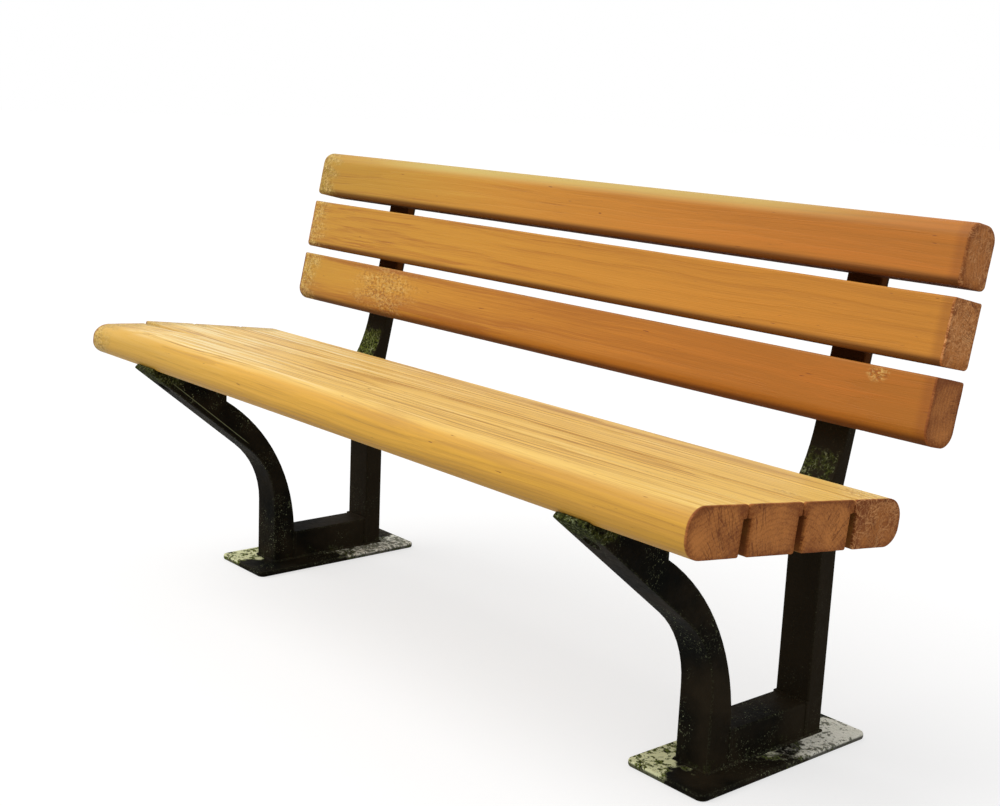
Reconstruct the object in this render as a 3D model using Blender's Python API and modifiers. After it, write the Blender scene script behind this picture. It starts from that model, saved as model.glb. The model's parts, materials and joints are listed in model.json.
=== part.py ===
"""Outdoor bench: thick timber planks and slats screwed to two black metal end frames.

The bench runs along X, its sitter faces -Y and +Z is up. The side view is laid out in
(depth, height) points, with depth 0 halfway between the legs and height 0 on the ground.
"""

import math

import bmesh
import bpy
from mathutils import Matrix, Vector

# Bench and end frames, in metres: a frame's inset is from the timber's end to its middle
BENCH_LENGTH = 1.500
FRAME_INSET = 0.194
FRAME_WIDTH = 0.060

# Timber, its pieces named from the front of the seat and from the bottom of the back
PLANK_NAMES = ("front", "second", "third", "rear")
SLAT_NAMES = ("bottom", "middle", "top")
TIMBER_THICKNESS = 0.065
PLANK_WIDTH = 0.10225
PLANK_GAP = 0.002
PLANK_LIP = 0.018
PLANK_SET_BACK = 0.006
SLAT_HEIGHT = 0.0925
TOP_SLAT_HEIGHT = 0.087
SLAT_GAP = 0.0145
SLAT_LOWER_RADIUS = 0.008
SEAT_NOSE_RADIUS = 0.028
SLAT_NOSE_RADIUS = 0.024
TIMBER_ARRIS = 0.0025

# Seat and back position: angles in degrees, the seat's height at its front upper edge
SEAT_HEIGHT = 0.4706
SEAT_TILT = 7.0
SEAT_OVERHANG = 0.256
BACK_LEAN = 12.0
BACK_RISE = 0.1035

# End frame, side view
LEG_STANCE = 0.249
FRONT_LEG_DEPTH = 0.045
FRONT_LEG_RISE = 0.122
FRONT_LEG_BEND_RADIUS = 0.150
FRONT_LEG_INNER_RISE = 0.060
LEG_HEAD_LENGTH = 0.150
LEG_HEAD_STEP = 0.019
LEG_TIP_THICKNESS = 0.010
LEG_TIP_WRAP = 40.0
REAR_LEG_DEPTH = 0.036
POST_DEPTH = 0.0195
POST_BEND_HEIGHT = 0.367
POST_BEND_RADIUS = 0.120
POST_TOP_DROP = 0.025
POST_BOSS_REACH = 0.022
POST_FLARE_CLEARANCE = 0.004
BEARER_DEPTH = 0.030
RAIL_HEIGHT = 0.053
PLATE_THICKNESS = 0.010
PLATE_END_MARGIN = 0.056
PLATE_SIDE_MARGIN = 0.043
PLATE_CORNER_RADIUS = 0.012
METAL_ARRIS = 0.003

# Coach screws and washers
SCREW_RADIUS = 0.004
SCREW_POINT = 0.008
SCREW_BITE = 0.040
SCREW_HEAD_FLATS = 0.013
SCREW_HEAD_HEIGHT = 0.0055
WASHER_RADIUS = 0.011
WASHER_THICKNESS = 0.002
SCREW_EDGE_DISTANCE = 0.020
PILOT_SPARE = 0.003
HEAD_WEB = 0.014
COUNTERBORE_MARGIN = 0.0015

# Clearances and facets
TOUCH_GAP = 0.0003
WELD_DISTANCE = 0.00001
CUT_OVERRUN = 0.005
ARC_STEPS = 8
ROUND_SIDES = 16
FLAT_ANGLE = math.radians(0.1)
BEVEL_ANGLE = math.radians(30)

# Side view directions: along and square to the seat, and up and square to the back
TILT = math.radians(SEAT_TILT)
LEAN = math.radians(BACK_LEAN)
SEAT_BACKWARD = Vector((math.cos(TILT), -math.sin(TILT)))
SEAT_UP = Vector((math.sin(TILT), math.cos(TILT)))
BACK_UP = Vector((math.sin(LEAN), math.cos(LEAN)))
BACK_REARWARD = Vector((math.cos(LEAN), -math.sin(LEAN)))

# Side view places that several pieces share
FRONT_LEG_FACE = -LEG_STANCE / 2
FRONT_LEG_INNER = FRONT_LEG_FACE + FRONT_LEG_DEPTH
REAR_LEG_FACE = LEG_STANCE / 2 - REAR_LEG_DEPTH
REAR_LEG_BACK = LEG_STANCE / 2
FOOT = PLATE_THICKNESS + TOUCH_GAP
SEAT_CORNER = Vector((FRONT_LEG_FACE - SEAT_OVERHANG, SEAT_HEIGHT))
POST_BEND = Vector((REAR_LEG_BACK, POST_BEND_HEIGHT))
SEAT_NOSE = min(SEAT_NOSE_RADIUS, TIMBER_THICKNESS / 2 - TOUCH_GAP)
SLAT_NOSE = min(SLAT_NOSE_RADIUS, TIMBER_THICKNESS / 2 - TOUCH_GAP)
HOLE_RADIUS = SCREW_RADIUS + TOUCH_GAP
FRAME_X = BENCH_LENGTH / 2 - FRAME_INSET
SIDES = {"left": -FRAME_X, "right": FRAME_X}


def on_seat(along, below):
    """Side view point, measured back along the seat and down from its upper face."""
    return SEAT_CORNER + SEAT_BACKWARD * along - SEAT_UP * below


def on_back(rise, behind):
    """Side view point, measured up the back and rearward of the post's rear face line."""
    return POST_BEND + BACK_UP * rise + BACK_REARWARD * behind


def under_seat(depth):
    """Height of the frame's upper face, just clear of the planks, at a depth."""
    start = on_seat(0, TIMBER_THICKNESS + TOUCH_GAP)
    return start.y - (depth - start.x) * math.tan(TILT)


def along_seat(depth):
    """Distance back along the underside of the seat at a depth."""
    return (depth - on_seat(0, TIMBER_THICKNESS + TOUCH_GAP).x) / math.cos(TILT)


def arc(centre, radius, start, end, steps=ARC_STEPS):
    """Side view points on an arc, angles in radians from the rearward direction."""
    angles = [start + (end - start) * step / steps for step in range(steps + 1)]
    return [centre + Vector((math.cos(a), math.sin(a))) * radius for a in angles]


HEAD_REAR = on_seat(SEAT_NOSE * (1 - math.sin(math.radians(LEG_TIP_WRAP))) + LEG_HEAD_LENGTH,
                    TIMBER_THICKNESS + TOUCH_GAP).x
BEARER_FRONT = HEAD_REAR + TOUCH_GAP
BEARER_DROP = BEARER_DEPTH / math.cos(TILT)
BOSS_FACE = REAR_LEG_FACE - POST_BOSS_REACH


def collection_for(name):
    """A collection of this name in the scene."""
    group = bpy.data.collections.get(name) or bpy.data.collections.new(name)
    if name not in bpy.context.scene.collection.children:
        bpy.context.scene.collection.children.link(group)
    return group


def finish(name, colour, roughness, metallic):
    """A Principled material with one colour, roughness and metallic value."""
    material = bpy.data.materials.new(name)
    material.use_nodes = True
    shader = material.node_tree.nodes["Principled BSDF"]
    shader.inputs["Base Color"].default_value = (*colour, 1)
    shader.inputs["Roughness"].default_value = roughness
    shader.inputs["Metallic"].default_value = metallic
    return material


for old in list(bpy.data.objects):
    bpy.data.objects.remove(old, do_unlink=True)

PARTS = collection_for("outdoor_bench")
CUTTERS = collection_for("outdoor_bench_cutters")
ROOT = bpy.data.objects.new("bench_origin", None)
PARTS.objects.link(ROOT)

SEAT_TIMBER = finish("seat_timber", (0.68, 0.43, 0.15), 0.55, 0.0)
BACK_TIMBER = finish("back_timber", (0.50, 0.23, 0.06), 0.50, 0.0)
BLACK_PAINT = finish("black_paint", (0.008, 0.008, 0.006), 0.60, 0.0)
ZINC = finish("zinc_plate", (0.35, 0.35, 0.34), 0.40, 1.0)

# Turns an outline's own (x, y, z) into world (depth, height, length): x to +Y, y to +Z, z to +X
UPRIGHT = Matrix.Rotation(math.pi / 2, 4, "Z") @ Matrix.Rotation(math.pi / 2, 4, "X")


def settle(mesh):
    """Welds a mesh made from curves or modifiers, clears edges on flat faces and points it outwards."""
    work = bmesh.new()
    work.from_mesh(mesh)
    bmesh.ops.remove_doubles(work, verts=work.verts, dist=WELD_DISTANCE)
    bmesh.ops.dissolve_limit(work, angle_limit=FLAT_ANGLE, verts=work.verts, edges=work.edges)
    bmesh.ops.recalc_face_normals(work, faces=work.faces)
    work.to_mesh(mesh)
    work.free()
    return mesh


def taken_from(source):
    """The evaluated mesh of a temporary object, which is then removed."""
    bpy.context.view_layer.update()
    graph = bpy.context.evaluated_depsgraph_get()
    mesh = bpy.data.meshes.new_from_object(source.evaluated_get(graph))
    bpy.data.objects.remove(source, do_unlink=True)
    return settle(mesh)


def prism(name, outline, length):
    """Mesh of a closed flat outline, extruded to a length about its own plane."""
    work = bmesh.new()
    base = work.faces.new([work.verts.new((x, y, -length / 2)) for x, y in outline])
    swept = bmesh.ops.extrude_face_region(work, geom=[base])["geom"]
    top = [item for item in swept if isinstance(item, bmesh.types.BMVert)]
    bmesh.ops.translate(work, vec=(0, 0, length), verts=top)
    mesh = bpy.data.meshes.new(name)
    work.to_mesh(mesh)
    work.free()
    return settle(mesh)


def add_part(name, mesh, material, matrix):
    """A named sub-part at a place, parented to the bench's origin."""
    part = bpy.data.objects.new(name, mesh)
    PARTS.objects.link(part)
    part.parent = ROOT
    part.location = matrix.to_translation()
    part.rotation_euler = matrix.to_euler()
    if not mesh.materials:
        mesh.materials.append(material)
    return part


def soften(part, width):
    """Eases a part's sharp outer edges and leaves its inner corners square."""
    mesh = bmesh.new()
    mesh.from_mesh(part.data)
    weight = mesh.edges.layers.float.new("bevel_weight_edge")
    for edge in mesh.edges:
        edge[weight] = edge.is_convex and edge.calc_face_angle(0) > BEVEL_ANGLE
    mesh.to_mesh(part.data)
    mesh.free()
    bevel = part.modifiers.new("eased edges", "BEVEL")
    bevel.width = width
    bevel.segments = 2
    bevel.limit_method = "WEIGHT"


def pointing(place, direction):
    """Matrix at a place, its own z along a direction."""
    turn = Vector(direction).to_track_quat("Z", "Y").to_matrix().to_4x4()
    return Matrix.Translation(place) @ turn


def drill(part, name, holes):
    """Cuts separate round holes, each a (place, direction, radius, depth) along its direction."""
    work = bmesh.new()
    for place, direction, radius, depth in holes:
        middle = Vector(place) + Vector(direction) * depth / 2
        bmesh.ops.create_cone(work, cap_ends=True, segments=ROUND_SIDES, radius1=radius,
                              radius2=radius, depth=depth, matrix=pointing(middle, direction))
    mesh = bpy.data.meshes.new(part.name + "_" + name)
    work.to_mesh(mesh)
    work.free()
    cutter = bpy.data.objects.new(mesh.name, mesh)
    CUTTERS.objects.link(cutter)
    cutter.parent = ROOT
    cutter.hide_render = True
    cutter.display_type = "WIRE"
    cut = part.modifiers.new(name, "BOOLEAN")
    cut.operation = "DIFFERENCE"
    cut.object = cutter


def rounded_section(width, thickness, radii):
    """Section about its middle, its corners in turn: (-,-), (+,-), (+,+), (-,+); radius 0 is square."""
    outline = []
    for corner, radius in enumerate(radii):
        across = 1 if corner in (1, 2) else -1
        up = 1 if corner in (2, 3) else -1
        centre = Vector((across * (width / 2 - radius), up * (thickness / 2 - radius)))
        start = math.pi + corner * math.pi / 2
        outline += arc(centre, radius, start, start + math.pi / 2) if radius else [centre]
    return outline


def side_point(x, place):
    """World place of a side view point at an x."""
    return Vector((x, place.x, place.y))


def side_direction(direction):
    """World direction of a side view direction."""
    return Vector((0, direction.x, direction.y))


def shank_profile(length):
    """Object with the turned shank of a screw, from inside its head to its point."""
    points = [(0, length), (SCREW_RADIUS, length - SCREW_POINT),
              (SCREW_RADIUS, -SCREW_HEAD_HEIGHT / 2), (0, -SCREW_HEAD_HEIGHT / 2)]
    return turned("shank", points, closed=False)


def turned(name, points, closed):
    """Object with a (radius, height) profile turned about z."""
    work = bmesh.new()
    verts = [work.verts.new((radius, 0, height)) for radius, height in points]
    for first, second in zip(verts, verts[1:] + verts[:1] if closed else verts[1:]):
        work.edges.new((first, second))
    mesh = bpy.data.meshes.new(name)
    work.to_mesh(mesh)
    work.free()
    shape = bpy.data.objects.new(name, mesh)
    CUTTERS.objects.link(shape)
    spin = shape.modifiers.new("turn", "SCREW")
    spin.steps = ROUND_SIDES
    spin.render_steps = ROUND_SIDES
    spin.use_merge_vertices = True
    spin.merge_threshold = WELD_DISTANCE
    return shape


def shaded(mesh):
    """Smooth shading with the true corners kept sharp."""
    mesh.shade_smooth()
    mesh.set_sharp_from_angle(angle=BEVEL_ANGLE)
    return mesh


def screw_mesh(grip):
    """Coach screw along z: hexagon head below z = 0, shank through a grip and into the timber."""
    shank = shank_profile(grip + SCREW_BITE)
    work = bmesh.new()
    across_corners = SCREW_HEAD_FLATS / 2 / math.cos(math.pi / 6)
    bmesh.ops.create_cone(work, cap_ends=True, segments=6, radius1=across_corners,
                          radius2=across_corners, depth=SCREW_HEAD_HEIGHT,
                          matrix=Matrix.Translation((0, 0, -SCREW_HEAD_HEIGHT / 2)))
    mesh = bpy.data.meshes.new("coach_screw")
    work.to_mesh(mesh)
    work.free()
    head = bpy.data.objects.new("coach_screw", mesh)
    CUTTERS.objects.link(head)
    joined = head.modifiers.new("shank", "BOOLEAN")
    joined.operation = "UNION"
    joined.object = shank
    result = taken_from(head)
    bpy.data.objects.remove(shank, do_unlink=True)
    return shaded(result)


def washer_mesh():
    """Flat washer about z, its face towards the screw's head at z = 0."""
    points = [(WASHER_RADIUS, WASHER_THICKNESS), (WASHER_RADIUS, 0),
              (HOLE_RADIUS, 0), (HOLE_RADIUS, WASHER_THICKNESS)]
    return shaded(taken_from(turned("washer", points, closed=True)))


# Where each fixing bears, as a side view point on the metal, its direction and the metal it goes through
PLANK_PITCH = PLANK_WIDTH + PLANK_GAP
SLAT_PITCH = SLAT_HEIGHT + SLAT_GAP
SLAT_HEIGHTS = [SLAT_HEIGHT] * (len(SLAT_NAMES) - 1) + [TOP_SLAT_HEIGHT]
FIXINGS = {}
for index, plank in enumerate(PLANK_NAMES):
    middle = index * PLANK_PITCH + PLANK_WIDTH / 2
    metal = HEAD_WEB
    if index > 0:
        middle = max(middle, along_seat(BEARER_FRONT) + SCREW_EDGE_DISTANCE)
        metal = BEARER_DEPTH
    FIXINGS["seat_plank_" + plank] = (
        on_seat(middle, TIMBER_THICKNESS + TOUCH_GAP + metal), SEAT_UP, metal)
for index, slat in enumerate(SLAT_NAMES):
    middle = BACK_RISE + index * SLAT_PITCH + SLAT_HEIGHTS[index] / 2
    FIXINGS["back_slat_" + slat] = (on_back(middle, 0), -BACK_REARWARD, POST_DEPTH)


def metal_holes(timbers, x):
    """Holes through an end frame piece for the screws of these timbers."""
    holes = []
    for timber in timbers:
        place, direction, metal = FIXINGS[timber]
        start = place - direction * CUT_OVERRUN
        holes.append((side_point(x, start), side_direction(direction), HOLE_RADIUS,
                      metal + 2 * CUT_OVERRUN))
    return holes


def pilot_holes(timber):
    """Blind holes in a timber, one at each end frame."""
    place, direction, metal = FIXINGS[timber]
    start = place + direction * (metal - CUT_OVERRUN)
    depth = CUT_OVERRUN + TOUCH_GAP + SCREW_BITE + PILOT_SPARE
    return [(side_point(x, start), side_direction(direction), HOLE_RADIUS, depth)
            for x in SIDES.values()]


def add_timber(name, section, middle, angle, material):
    """A full-length timber with its section turned by an angle and its pilot holes drilled."""
    turn = Matrix.Rotation(angle, 4, "X") @ UPRIGHT
    place = Matrix.Translation(side_point(0, middle)) @ turn
    timber = add_part(name, shaded(prism(name, section, BENCH_LENGTH)), material, place)
    soften(timber, TIMBER_ARRIS)
    drill(timber, "pilot_holes", pilot_holes(name))


def plank_edge(radius):
    """Edge of a plank's section from bottom to top: rounded, or a lip above a face that is set back."""
    half_width, half_thickness = PLANK_WIDTH / 2, TIMBER_THICKNESS / 2
    if radius:
        lower = arc(Vector((half_width - radius, radius - half_thickness)), radius, -math.pi / 2, 0)
        return lower + arc(Vector((half_width - radius, half_thickness - radius)), radius, 0, math.pi / 2)
    lip = half_thickness - PLANK_LIP
    inner = half_width - PLANK_SET_BACK
    corners = (inner, -half_thickness), (inner, lip), (half_width, lip), (half_width, half_thickness)
    return [Vector(corner) for corner in corners]


def plank_section(nose, tail):
    """Section of a plank about its middle, its nose to the front and its tail to the rear."""
    front = [Vector((-point.x, point.y)) for point in plank_edge(nose)]
    return plank_edge(tail) + front[::-1]


def add_seat():
    """Planks side by side, close at the top; the front one's nose and the rear one's tail are round."""
    for index, plank in enumerate(PLANK_NAMES):
        nose = SEAT_NOSE if index == 0 else 0
        tail = SEAT_NOSE if index == len(PLANK_NAMES) - 1 else 0
        section = plank_section(nose, tail)
        middle = on_seat(index * PLANK_PITCH + PLANK_WIDTH / 2, TIMBER_THICKNESS / 2)
        add_timber("seat_plank_" + plank, section, middle, -TILT, SEAT_TIMBER)


def add_back():
    """Slats in front of the posts: a round bottom edge on the lowest and a round top edge on the highest."""
    for index, (slat, height) in enumerate(zip(SLAT_NAMES, SLAT_HEIGHTS)):
        lower = SLAT_NOSE if index == 0 else SLAT_LOWER_RADIUS
        upper = SLAT_NOSE if index == len(SLAT_NAMES) - 1 else 0
        section = rounded_section(height, TIMBER_THICKNESS, (lower, upper, upper, lower))
        rise = BACK_RISE + index * SLAT_PITCH + height / 2
        middle = on_back(rise, -(POST_DEPTH + TOUCH_GAP + TIMBER_THICKNESS / 2))
        add_timber("back_slat_" + slat, section, middle, math.pi / 2 - LEAN, BACK_TIMBER)


def front_leg_outline():
    """Foot, swept outer edge, tip wrapped round the seat's nose, head and curved inner edge."""
    wrap = math.radians(LEG_TIP_WRAP)
    nose_centre = on_seat(SEAT_NOSE, TIMBER_THICKNESS - SEAT_NOSE)
    downward = math.atan2(-SEAT_UP.y, -SEAT_UP.x)
    nose = arc(nose_centre, SEAT_NOSE + TOUCH_GAP, downward - wrap, downward)
    tip_reach = SEAT_NOSE + TOUCH_GAP + LEG_TIP_THICKNESS
    tip = arc(nose_centre, tip_reach, downward - wrap, downward)[0]

    bend_centre = Vector((FRONT_LEG_FACE - FRONT_LEG_BEND_RADIUS, FRONT_LEG_RISE))
    to_tip = tip - bend_centre
    sweep = math.atan2(to_tip.y, to_tip.x) - math.acos(FRONT_LEG_BEND_RADIUS / to_tip.length)
    outer = arc(bend_centre, FRONT_LEG_BEND_RADIUS, 0, sweep)

    head_top = Vector((HEAD_REAR, under_seat(HEAD_REAR)))
    head_foot = head_top - Vector((0, BEARER_DROP + LEG_HEAD_STEP))
    run = FRONT_LEG_INNER - head_foot.x
    climb = head_foot.y - FRONT_LEG_INNER_RISE
    inner_radius = (run ** 2 + climb ** 2) / (2 * run)
    inner_centre = Vector((FRONT_LEG_INNER - inner_radius, FRONT_LEG_INNER_RISE))
    inner = arc(inner_centre, inner_radius, math.asin(climb / inner_radius), 0, 2 * ARC_STEPS)

    feet = [Vector((FRONT_LEG_INNER, FOOT)), Vector((FRONT_LEG_FACE, FOOT))]
    return outer + [tip] + nose + [head_top] + inner + feet


def rear_post_outline():
    """Upright leg, bend, leaning post, flare down to the boss that meets the seat bearer."""
    bend_run = POST_BEND_RADIUS * math.tan(LEAN / 2)
    bend_centre = Vector((REAR_LEG_BACK + POST_BEND_RADIUS, POST_BEND_HEIGHT - bend_run))
    bend = arc(bend_centre, POST_BEND_RADIUS, math.pi, math.pi - LEAN)
    top = BACK_RISE + (len(SLAT_NAMES) - 1) * SLAT_PITCH + TOP_SLAT_HEIGHT - POST_TOP_DROP
    tops = [on_back(top, 0), on_back(top, -POST_DEPTH)]

    boss_top = Vector((BOSS_FACE, under_seat(BOSS_FACE)))
    boss_foot = boss_top - Vector((0, BEARER_DROP))
    flare_top = BACK_RISE - POST_FLARE_CLEARANCE
    from_line = boss_top - on_back(flare_top, -POST_DEPTH)
    drop = -from_line.dot(BACK_UP)
    reach = -from_line.dot(BACK_REARWARD)
    flare_radius = (drop ** 2 + reach ** 2) / (2 * reach)
    flare_centre = on_back(flare_top, -POST_DEPTH - flare_radius)
    flare_sweep = math.asin(drop / flare_radius)
    flare = arc(flare_centre, flare_radius, -LEAN, -LEAN - flare_sweep)

    haunch_centre = boss_foot - Vector((0, POST_BOSS_REACH))
    haunch = arc(haunch_centre, POST_BOSS_REACH, math.pi / 2, 0)
    feet = [Vector((REAR_LEG_FACE, FOOT)), Vector((REAR_LEG_BACK, FOOT))]
    return bend + tops + flare + haunch + feet


def bearer_outline():
    """Bar under the planks, from the front leg's head to the rear post's boss."""
    ends = (BEARER_FRONT, BOSS_FACE - TOUCH_GAP)
    upper = [Vector((depth, under_seat(depth))) for depth in ends]
    lower = [place - Vector((0, BEARER_DROP)) for place in reversed(upper)]
    return upper + lower


def rail_outline():
    """Low bar between the two legs, on the base plate."""
    ends = (FRONT_LEG_INNER + TOUCH_GAP, REAR_LEG_FACE - TOUCH_GAP)
    lower = [Vector((depth, FOOT)) for depth in ends]
    upper = [place + Vector((0, RAIL_HEIGHT)) for place in reversed(lower)]
    return lower + upper


def add_bar(name, outline, x, timbers=()):
    """One bar of an end frame, its side outline at an x, drilled for the timbers it carries."""
    place = Matrix.Translation((x, 0, 0)) @ UPRIGHT
    bar = add_part(name, shaded(prism(name, outline, FRAME_WIDTH)), BLACK_PAINT, place)
    soften(bar, METAL_ARRIS)
    if timbers:
        drill(bar, "screw_holes", metal_holes(timbers, x))
    return bar


def add_front_leg(name, x):
    """Swept leg under the front plank, whose screw is sunk in its head from below."""
    leg = add_bar(name, front_leg_outline(), x, ["seat_plank_front"])
    bearing, direction, _ = FIXINGS["seat_plank_front"]
    sunk = (bearing.y - FOOT) / direction.y
    drill(leg, "counterbore", [(side_point(x, bearing - direction * sunk), side_direction(direction),
                                WASHER_RADIUS + COUNTERBORE_MARGIN, sunk)])


def add_base_plate(name, x):
    """Flat plate on the ground, wider and longer than the legs that stand on it, with round corners."""
    width = FRAME_WIDTH + 2 * PLATE_SIDE_MARGIN
    length = LEG_STANCE + 2 * PLATE_END_MARGIN
    outline = rounded_section(width, length, [PLATE_CORNER_RADIUS] * 4)
    place = Matrix.Translation((x, 0, PLATE_THICKNESS / 2))
    plate = add_part(name, shaded(prism(name, outline, PLATE_THICKNESS)), BLACK_PAINT, place)
    soften(plate, METAL_ARRIS)


def add_end_frame(side, x):
    """Base plate, legs, foot rail and seat bearer of one end."""
    add_base_plate("base_plate_" + side, x)
    add_front_leg("front_leg_" + side, x)
    add_bar("rear_post_" + side, rear_post_outline(), x, ["back_slat_" + slat for slat in SLAT_NAMES])
    add_bar("seat_bearer_" + side, bearer_outline(), x,
            ["seat_plank_" + plank for plank in PLANK_NAMES[1:]])
    add_bar("foot_rail_" + side, rail_outline(), x)


def add_fixings():
    """A coach screw and its washer for each timber at each end frame."""
    washer = washer_mesh()
    screws = {}
    for timber, (bearing, direction, metal) in FIXINGS.items():
        if metal not in screws:
            screws[metal] = screw_mesh(metal + 3 * TOUCH_GAP + WASHER_THICKNESS)
        for side, x in SIDES.items():
            washer_face = bearing - direction * (TOUCH_GAP + WASHER_THICKNESS)
            head_face = washer_face - direction * TOUCH_GAP
            way = side_direction(direction)
            add_part("washer_" + timber + "_" + side, washer, ZINC,
                     pointing(side_point(x, washer_face), way))
            add_part("screw_" + timber + "_" + side, screws[metal], ZINC,
                     pointing(side_point(x, head_face), way))


def centre_depth():
    """Moves the whole bench so that its bounding box is centred in depth."""
    bpy.context.view_layer.update()
    graph = bpy.context.evaluated_depsgraph_get()
    depths = []
    for part in PARTS.objects:
        if part.type == "MESH":
            shape = part.evaluated_get(graph)
            depths += [(shape.matrix_world @ Vector(corner)).y for corner in shape.bound_box]
    ROOT.location.y = -(min(depths) + max(depths)) / 2
    bpy.context.view_layer.update()


add_seat()
add_back()
for frame_side, frame_x in SIDES.items():
    add_end_frame(frame_side, frame_x)
add_fixings()
centre_depth()
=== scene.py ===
"""Looks of an outdoor bench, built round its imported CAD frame.

Weathered timbers with solid grain, scuffed black end frames on mossy base plates, zinc-plated
fixings, and a plain pale studio. The file is laid out as an add-on with one operator for each
group of like pieces.
"""

import json
import math
from typing import NamedTuple

import bmesh
import bpy
from bpy.props import FloatProperty, FloatVectorProperty, PointerProperty
from mathutils import Matrix, Vector, noise

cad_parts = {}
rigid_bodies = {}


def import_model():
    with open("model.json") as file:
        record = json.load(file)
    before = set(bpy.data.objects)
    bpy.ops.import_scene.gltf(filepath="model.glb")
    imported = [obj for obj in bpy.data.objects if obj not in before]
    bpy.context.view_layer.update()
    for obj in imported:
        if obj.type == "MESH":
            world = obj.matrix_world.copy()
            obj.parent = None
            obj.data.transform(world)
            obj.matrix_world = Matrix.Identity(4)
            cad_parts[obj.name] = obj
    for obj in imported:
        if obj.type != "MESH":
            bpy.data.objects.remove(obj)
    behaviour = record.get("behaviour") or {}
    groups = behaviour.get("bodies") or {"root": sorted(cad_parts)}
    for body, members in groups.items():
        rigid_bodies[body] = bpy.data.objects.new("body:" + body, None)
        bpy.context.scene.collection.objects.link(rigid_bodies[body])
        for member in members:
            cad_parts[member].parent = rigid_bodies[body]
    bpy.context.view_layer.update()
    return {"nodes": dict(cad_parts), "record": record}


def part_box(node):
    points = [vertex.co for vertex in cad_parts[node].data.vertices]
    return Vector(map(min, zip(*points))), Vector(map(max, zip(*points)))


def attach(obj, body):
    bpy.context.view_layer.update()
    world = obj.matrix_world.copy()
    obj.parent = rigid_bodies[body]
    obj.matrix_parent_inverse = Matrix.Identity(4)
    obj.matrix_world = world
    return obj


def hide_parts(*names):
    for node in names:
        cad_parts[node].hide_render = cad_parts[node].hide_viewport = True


for leftover in list(bpy.data.objects):
    bpy.data.objects.remove(leftover)
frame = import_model()

bl_info = {
    "name": "Outdoor Bench Looks",
    "version": (1, 0, 0),
    "blender": (4, 5, 0),
    "location": "View3D > Sidebar > Bench",
    "description": "Builds the timbers, end frames, fixings and stage of an outdoor bench",
    "category": "Object",
}

BODY = "root"
SEAT_SLOT = "seat_timber"
BACK_SLOT = "back_timber"
PAINT_SLOT = "black_paint"
ZINC_SLOT = "zinc_plate"
FRAME_PAINT = "frame_black_paint"
SIDES = ("left", "right")
PLANKS = ("seat_plank_front", "seat_plank_second", "seat_plank_third", "seat_plank_rear")
SLATS = ("back_slat_bottom", "back_slat_middle", "back_slat_top")
BARS = ("front_leg", "rear_post", "seat_bearer", "foot_rail")

# Directions of the seat and the back, from the record's mounts
MOUNT_AXES = {mount["name"]: Vector(mount["axis"]).normalized() for mount in frame["record"]["mounts"]}
ALONG = Vector((1, 0, 0))
UP = Vector((0, 0, 1))
SEAT_UP = MOUNT_AXES["seat_top"]
BACK_OUT = MOUNT_AXES["back_front"]

# Photograph's camera
IMAGE_WIDTH = 1000
SENSOR_WIDTH = 36.0
FOCAL_PIXELS = 1497.94
CAMERA_PLACE = Vector((1.8338, -1.5170, 0.9196))
CAMERA_HEADING = math.radians(49.1874)
CAMERA_PITCH = math.radians(11.8388)
CAMERA_ROLL = math.radians(2.5226)

# Half the floor's width, the light on the open floor as a share of white, and the way the lamp shines
FLOOR_REACH = 30
FLOOR_LIGHT = 0.9
LAMP_AIM = Vector((0.55, 0.55, -1.0))

# Pith of each board's rings: its place across and out from the board's middle
PITHS = {
    "seat_plank_front": (0.10, -0.16),
    "seat_plank_second": (0.03, -0.20),
    "seat_plank_third": (-0.09, -0.13),
    "seat_plank_rear": (0.02, -0.05),
    "back_slat_bottom": (0.02, -0.14),
    "back_slat_middle": (-0.05, -0.18),
    "back_slat_top": (0.06, -0.15),
}

# What sets each slat apart from the others, in the words of TimberLook
SLAT_LOOKS = {
    "back_slat_bottom": dict(shade=-0.17, fall=0.14, redden=1.0, olive=0.12, end=0.12, scribble=0.06),
    "back_slat_middle": dict(shade=-0.08, fall=0.0, redden=0.52, olive=0.07, end=0.0, scribble=0.8),
    "back_slat_top": dict(shade=-0.09, fall=0.08, redden=0.9, olive=0.28, end=0.16, scribble=0.7),
}

# Scuffed patches on the boards' faces: place along and across the board, and size
SCUFFS = {
    "back_slat_bottom": ((0.659, 0.036, 0.022), (-0.46, 0.004, 0.12)),
    "seat_plank_third": ((0.698, -0.025, 0.03),),
    "seat_plank_rear": ((0.715, 0.005, 0.055),),
}

# Seeds of the first plank's and the first slat's patterns, and the step from board to board
SEAT_SEED = 31.0
BACK_SEED = 61.0
SEED_STEP = 7

# Seeds of the first plank's and the first slat's wear
SEAT_WEAR_SEED = 5.0
BACK_WEAR_SEED = 15.0

# Long scratch on the left front leg's side: its two ends, its width and the length of its tapers
SCRATCH = (Vector((0, -0.259, 0.388)), Vector((0, -0.090, 0.249)))
SCRATCH_WIDTH = 0.0012
SCRATCH_TAPER = 0.02

# Depths over which the frames' looks change: in front of the rear legs, and behind the front legs' tips
REAR_LEGS = (0.10, 0.15)
LEG_TIPS = (-0.25, -0.19)

# How readily moss grows on each base plate, at its front and at its rear
PLATE_MOSS = {"left": (0.50, 0.53), "right": (0.49, 0.47)}

# Distances below a limit at which a pattern begins and at which it is full
FACE_FADE = (0.012, 0.002)
CROWN_FADE = (0.024, 0.006)
END_FADE = (0.005, 0.0025)
END_SHADE_FADE = (0.026, 0.010)
FRAY_FADE = (0.07, 0.01)
BAR_SIDE_FADE = (0.005, 0.001)
SLOT_BROWN_FADE = (0.018, 0.011)
PLATE_TOP_FADE = (0.005, 0.002)

# Depth at which the painted shadow on the boards' sides begins, and how far past the set-back side it is
# full
SEAM_REACH = 0.014
SEAM_OVERLAP = 0.001

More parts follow.
